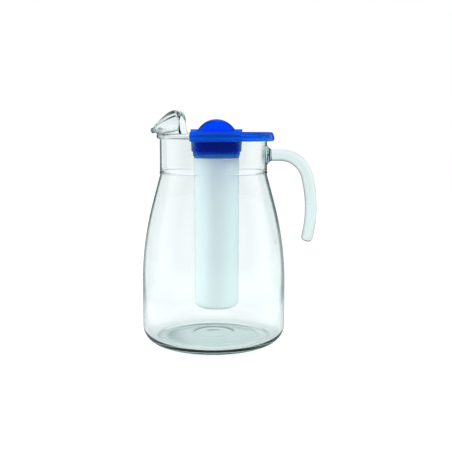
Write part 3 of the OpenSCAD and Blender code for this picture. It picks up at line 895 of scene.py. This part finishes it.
lid_r = NECK_R + BEAD_OUT + SKIRT_GAP + LID_T
lid_under = RIM_Z + SEAT_GAP
lid_top = lid_under + LID_T
collar_z, socket_low, seat_z = lid_top + COLLAR_H, lid_top - SOCKET_H, lid_top - LEDGE_Z
bore_r = CAP_R + SOCKET_GAP
flange_r = (bore_r + SOCKET_R - LID_T / 2) / 2
counter_r = flange_r + SOCKET_GAP
ring_r = neck_in - RING_GAP

# %% Plate, skirt and locating ring, cut straight
CORNER_STEPS, CORNER_IN_STEPS, SKIRT_STEPS, SKIRT_IN_STEPS = 10, 8, 10, 6
skirt_low = lid_top - SKIRT_H
corner_mid = (lid_r - SKIRT_FLARE - LID_CORNER_R, lid_top - LID_CORNER_R)
edge_mid = (lid_r - SKIRT_EDGE_R, skirt_low + SKIRT_EDGE_R)
plate = [(0, lid_under), (ring_r - LID_T, lid_under), (ring_r - LID_T, lid_under - RING_H)]
plate += [(ring_r, lid_under - RING_H), (ring_r, lid_under)]
plate += arc(corner_mid, LID_CORNER_R - LID_T, 90, 0, CORNER_IN_STEPS)
plate += arc(edge_mid, SKIRT_EDGE_R - LID_T, 0, -90, SKIRT_IN_STEPS)
plate += arc(edge_mid, SKIRT_EDGE_R, -90, 0, SKIRT_STEPS)
plate += arc(corner_mid, LID_CORNER_R, 0, 90, CORNER_STEPS) + [(0, lid_top)]
bm = turned(divided(plate, LONG_STRETCH))
cut = bmesh.ops.bisect_plane(
    bm, geom=bm.verts[:] + bm.edges[:] + bm.faces[:], dist=MERGE,
    plane_co=(-CHORD_X * MM, 0, 0), plane_no=(-1, 0, 0), clear_outer=True, clear_inner=False,
)
cut_edges = [part for part in cut["geom_cut"] if isinstance(part, bmesh.types.BMEdge)]
bmesh.ops.edgenet_fill(bm, edges=cut_edges)
bmesh.ops.triangulate(bm, faces=[f for f in bm.faces if len(f.verts) > 4])
bmesh.ops.recalc_face_normals(bm, faces=bm.faces)
lid = to_object(bm, "lid_moulding")
print("lid radius", round(lid_r, 2), "mm, cut", CHORD_X, "mm before the axis")

# %% Low wall under the straight edge
bm = bmesh.new()
bmesh.ops.create_cube(bm, size=1)
wall_y = math.sqrt((ring_r - LID_T / 2) ** 2 - (CHORD_X - LID_T) ** 2)
low_z, high_z = lid_under - RING_H, lid_under + LID_T / 2
size = (LID_T * MM, 2 * wall_y * MM, (high_z - low_z) * MM)
bmesh.ops.scale(bm, verts=bm.verts, vec=size)
middle = ((LID_T / 2 - CHORD_X) * MM, 0, (low_z + high_z) / 2 * MM)
bmesh.ops.translate(bm, verts=bm.verts, vec=middle)
combine(lid, to_object(bm, "chord_wall"), "UNION")
print("wall", round(2 * wall_y, 1), "mm long under the straight edge")

# %% Socket: the tapered outside joined on, the bore and the seat cut out
OVER = 1.0
socket = [(0, socket_low), (SOCKET_R - SOCKET_DRAFT, socket_low)]
socket += [(SOCKET_R, collar_z), (0, collar_z)]
combine(lid, to_object(turned(divided(socket, STRETCH), SET_BACK), "socket_outside"), "UNION")
hole = [(0, socket_low - OVER), (bore_r, socket_low - OVER), (bore_r, seat_z)]
hole += [(counter_r, seat_z), (counter_r, collar_z + OVER), (0, collar_z + OVER)]
combine(lid, to_object(turned(divided(hole, STRETCH), SET_BACK), "socket_inside"), "DIFFERENCE")
complete(lid, lid_plastic, "lid", ["lid"])

# %% [markdown]
# ## The ice tube
#
# A deep cup, blown or moulded in one, with a rounded foot and a narrower neck. Round the neck run
# two threads with a lead of 10 mm, so that two turns take the cap off.
#
# A thread could be swept along a helix and joined on, but such thin turns leave slivers along the
# wall. Here the thread is part of the skin: the neck is turned with close rings of points, and
# each point moves out where a thread passes it. The same thread, half a pitch on, goes into the
# cap.

# %% Sizes of the tube and the cap in millimetres
TUBE_R, TUBE_DRAFT, TUBE_T, TUBE_FOOT_Z, TUBE_FOOT_R = 23.1, 0.5, 1.9, 36.0, 5.0
TUBE_NECK_L, TUBE_NECK_T, TUBE_EDGE, RIM_SOFT_OUT, RIM_SOFT_IN = 19.4, 1.7, 0.6, 0.4, 0.3
CAP_T, CAP_SKIRT_L, CAP_EDGE_W, CAP_EDGE_H = 2.1, 24.5, 1.1, 3.3
FLANGE_T, FLANGE_SOFT_LOW, FLANGE_SOFT_TOP = 2.0, 0.3, 0.4
KNOB_R, KNOB_H, KNOB_T = 22.0, 12.6, 2.0
SLEEVE_L, SLEEVE_T, SLEEVE_DRAFT = 17.0, 1.6, 1.0
SEAL_T, SEAL_SOFT, THREAD_GAP = 2.0, 0.35, 0.4

flange_low = seat_z + SEAT_GAP
flange_top = flange_low + FLANGE_T
knob_mid = flange_top + KNOB_H - KNOB_R
cap_low = flange_low - CAP_SKIRT_L
cap_bore = CAP_R - CAP_T
shoulder_z = cap_low - SEAT_GAP
tube_neck_r = cap_bore - THREAD_GAP
tube_neck_in = tube_neck_r - TUBE_NECK_T
tube_rim_z = shoulder_z + TUBE_NECK_L
seal_z = tube_rim_z + SEAT_GAP
ceiling_z = seal_z + SEAL_T + SEAT_GAP
sleeve_r = tube_neck_in - THREAD_GAP
print("tube from", TUBE_FOOT_Z, "to", round(tube_rim_z, 1), "mm, cap from", round(cap_low, 1), "mm")

# %% Thread
LEAD, STARTS, THREAD_H, THREAD_W = 10.0, 2, 0.7, 1.9
THREAD_SIDES, THREAD_STRETCH, ON_WALL = 120, 0.45, 0.01
TUBE_THREAD_FROM, TUBE_THREAD_TO, CAP_THREAD_FROM, CAP_THREAD_TO = 1.5, 1.0, 2.0, 5.0


def thread_height(x, y, z, low, high, phase):
    """How far the thread stands out at a point: 1 on the crest, 0 between, fading at both ends."""
    pitch = LEAD / STARTS
    turn = math.atan2(y, x) / (2 * math.pi) * LEAD
    off = (z - turn + phase * pitch) % pitch
    off = min(off, pitch - off)
    crest = min(1.0, max(0.0, (THREAD_W / 2 - off) / (THREAD_W / 4)))
    ends = min(1.0, max(0.0, z - low), max(0.0, high - z))
    return crest * ends


def add_thread(bm, wall_r, side, low, high, phase=0.0):
    """Moves the points of a round wall out (side 1) or in (side -1) where a thread passes them."""
    for v in bm.verts:
        r, z = math.hypot(v.co.x, v.co.y) / MM, v.co.z / MM
        if abs(r - wall_r) < ON_WALL and low < z < high:
            moved = r + side * THREAD_H * thread_height(v.co.x, v.co.y, z, low, high, phase)
            v.co.x, v.co.y = v.co.x * moved / r, v.co.y * moved / r


# %% Ice tube
FOOT_STEPS = 12
foot_in = TUBE_FOOT_R - TUBE_T / 2
tube_low_r = TUBE_R - TUBE_DRAFT
step_h = TUBE_R - tube_neck_r
core_r = tube_neck_r - THREAD_H
foot_mid = (tube_low_r - TUBE_FOOT_R, TUBE_FOOT_Z + TUBE_FOOT_R)
foot_in_mid = (tube_low_r - TUBE_T - foot_in, TUBE_FOOT_Z + TUBE_T + foot_in)
outside = [(0, TUBE_FOOT_Z)] + arc(foot_mid, TUBE_FOOT_R, -90, 0, FOOT_STEPS)
outside += [(TUBE_R, shoulder_z - TUBE_EDGE), (TUBE_R - TUBE_EDGE, shoulder_z)]
neck = divided([(core_r, shoulder_z), (core_r, tube_rim_z - RIM_SOFT_OUT)], THREAD_STRETCH)
neck += [(core_r - RIM_SOFT_OUT, tube_rim_z), (tube_neck_in + RIM_SOFT_IN, tube_rim_z)]
neck += [(tube_neck_in, tube_rim_z - RIM_SOFT_IN)]
inside = [(tube_neck_in, shoulder_z - TUBE_T), (TUBE_R - TUBE_T, shoulder_z - TUBE_T - step_h)]
inside += arc(foot_in_mid, foot_in, 0, -90, FOOT_STEPS) + [(0, TUBE_FOOT_Z + TUBE_T)]
tube_outline = divided(outside, LONG_STRETCH) + neck + divided(inside, LONG_STRETCH)
bm = turned(tube_outline, sides=THREAD_SIDES)
add_thread(bm, core_r, 1, shoulder_z + TUBE_THREAD_FROM, tube_rim_z - TUBE_THREAD_TO)
bmesh.ops.translate(bm, verts=bm.verts, vec=(SET_BACK * MM, 0, 0))
tube = to_object(bm, "frosted_tube")
complete(tube, frosted_plastic, "core", ["ice_tube"], crease=40)

# %% [markdown]
# ## The screw cap
#
# A hollow ball-shaped knob on a flange, with a long skirt that carries the thread and a sleeve
# that stops the neck from inside. Its lower edge is tapered and thin, and the pale band under the
# lid is painted light there, a paler colour for the light shining through it. All of it is one
# closed section, turned in one go, so that the wall keeps its thickness from the knob down to both
# edges.

# %% Screw cap
KNOB_STEPS = 24
knob_foot = math.degrees(math.acos((flange_top - knob_mid) / KNOB_R))
sleeve_in = sleeve_r - SLEEVE_T
inside_foot = math.degrees(math.asin(sleeve_in / (KNOB_R - KNOB_T)))
sleeve_low = ceiling_z - SLEEVE_L
shell = [(cap_bore, cap_low), (CAP_R - CAP_EDGE_W, cap_low), (CAP_R, cap_low + CAP_EDGE_H)]
shell += [(CAP_R, flange_low), (flange_r - FLANGE_SOFT_LOW, flange_low)]
shell += [(flange_r, flange_low + FLANGE_SOFT_LOW), (flange_r, flange_top - FLANGE_SOFT_TOP)]
shell += [(flange_r - FLANGE_SOFT_TOP, flange_top)]
knob = arc((0, knob_mid), KNOB_R, 90 - knob_foot, 90, KNOB_STEPS)
knob += arc((0, knob_mid), KNOB_R - KNOB_T, 90, 90 - inside_foot, KNOB_STEPS)
sleeve = [(sleeve_in - SLEEVE_DRAFT, sleeve_low), (sleeve_r - SLEEVE_DRAFT, sleeve_low)]
sleeve += [(sleeve_r, ceiling_z)]
bore = divided([(cap_bore, ceiling_z), (cap_bore, cap_low)], THREAD_STRETCH)
cap_outline = divided(shell, LONG_STRETCH) + knob
cap_outline += divided([knob[-1]] + sleeve, LONG_STRETCH)[1:] + bore[:-1]
bm = turned(cap_outline, sides=THREAD_SIDES, closed=True)
add_thread(bm, cap_bore, -1, cap_low + CAP_THREAD_FROM, ceiling_z - CAP_THREAD_TO, phase=0.5)
bmesh.ops.translate(bm, verts=bm.verts, vec=(SET_BACK * MM, 0, 0))
cap = to_object(bm, "screw_cap")
complete(cap, cap_plastic, "cap", ["tube_cap"])

# %% [markdown]
# ## The seal
#
# A flat ring with softened corners, between the rim of the tube and the ceiling of the cap. It is
# turned from a closed section, one quarter circle for each corner.

# %% Seal
SEAL_STEPS, SEAL_SIDES = 3, 96
near_r, far_r = tube_neck_in + SEAL_SOFT, tube_neck_r - SEAL_SOFT
lower_z, upper_z = seal_z + SEAL_SOFT, seal_z + SEAL_T - SEAL_SOFT
corners = ((near_r, lower_z), (near_r, upper_z), (far_r, upper_z), (far_r, lower_z))
ring = []
for i, middle in enumerate(corners):
    ring += arc(middle, SEAL_SOFT, 270 - 90 * i, 180 - 90 * i, SEAL_STEPS)
seal = to_object(turned(ring, SET_BACK, SEAL_SIDES, closed=True), "sealing_ring")
complete(seal, seal_silicone, "seal", ["cap_seal"])
